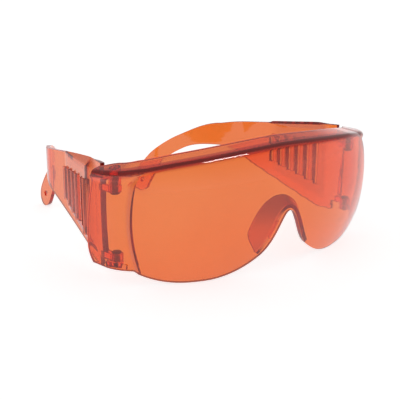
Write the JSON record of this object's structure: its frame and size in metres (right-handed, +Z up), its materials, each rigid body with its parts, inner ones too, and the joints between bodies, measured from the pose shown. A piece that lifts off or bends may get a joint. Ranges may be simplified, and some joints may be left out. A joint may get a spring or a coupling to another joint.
{
  "type": "safety glasses",
  "caption": "Wraparound over-glasses eye shield moulded in one piece with brow shelf and wings, and folding louvred temples with curved ear tips.",
  "frame": {"origin": "middle of the underside of the glasses as they lie open on a table", "axes": "+Y runs back from the lens to the ear tips, +Z is up from the table, +X is the wearer's left-hand side"},
  "size_m": [0.151, 0.1597, 0.0576],
  "materials": {
    "lens_shield": "clear orange tint, polished",
    "temple_left": "clear orange tint, polished",
    "temple_right": "clear orange tint, polished",
    "hinge_pin_upper_left": "smooth",
    "hinge_pin_lower_left": "smooth",
    "hinge_pin_upper_right": "smooth",
    "hinge_pin_lower_right": "smooth"
  },
  "bodies": {
    "shield": {"lens_shield": "lens_shield", "hinge_pin_upper_left": "hinge_pin_upper_left", "hinge_pin_lower_left": "hinge_pin_lower_left", "hinge_pin_upper_right": "hinge_pin_upper_right", "hinge_pin_lower_right": "hinge_pin_lower_right"},
    "left_temple": {"temple_left": "temple_left"},
    "right_temple": {"temple_right": "temple_right"}
  },
  "joints": [
    {"name": "left_temple_hinge", "type": "hinge", "parent": "shield", "child": "left_temple", "pos_m": [-0.067, -0.0484, 0], "axis": [0, 0, -1], "range_deg": [0, 78.5]},
    {"name": "right_temple_hinge", "type": "hinge", "parent": "shield", "child": "right_temple", "pos_m": [0.067, -0.0484, 0], "axis": [0, 0, 1], "range_deg": [-8.2, 62]}
  ]
}
